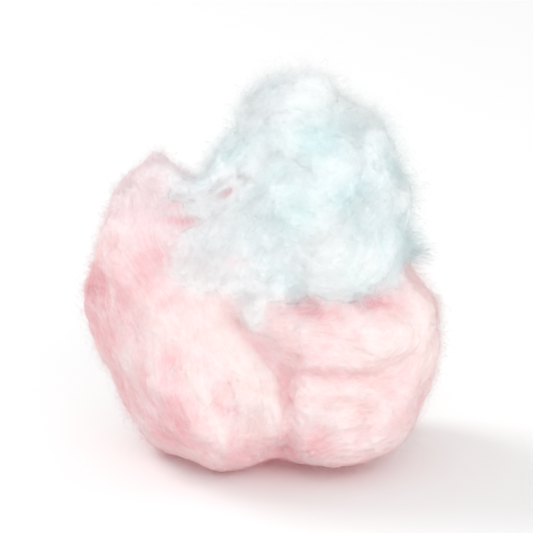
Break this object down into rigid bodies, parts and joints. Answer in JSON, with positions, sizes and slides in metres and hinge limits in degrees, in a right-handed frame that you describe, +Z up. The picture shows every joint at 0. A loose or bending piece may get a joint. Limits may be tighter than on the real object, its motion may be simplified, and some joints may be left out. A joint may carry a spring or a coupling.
{
  "type": "cotton candy",
  "caption": "Pulled tuft of cotton candy: a folded pink wad of spun sugar with a hollow on top, filled and overhung by a loose pale blue dome.",
  "frame": {"origin": "middle of the tuft's box, at the floor under its flat foot", "axes": "+X to the right and +Y to the back as seen from the side with the long pink fold, +Z up from the foot to the crown of the blue dome"},
  "size_m": [0.073, 0.053, 0.082],
  "materials": {
    "pink_sugar": "matt, soft and fibrous spun sugar, pale pink, deeper pink in its creases",
    "blue_sugar": "matt, airy spun sugar, very pale blue, nearly white where it is thin"
  },
  "bodies": {
    "root": {"pink_floss": "pink_sugar", "blue_floss": "blue_sugar"}
  },
  "joints": []
}
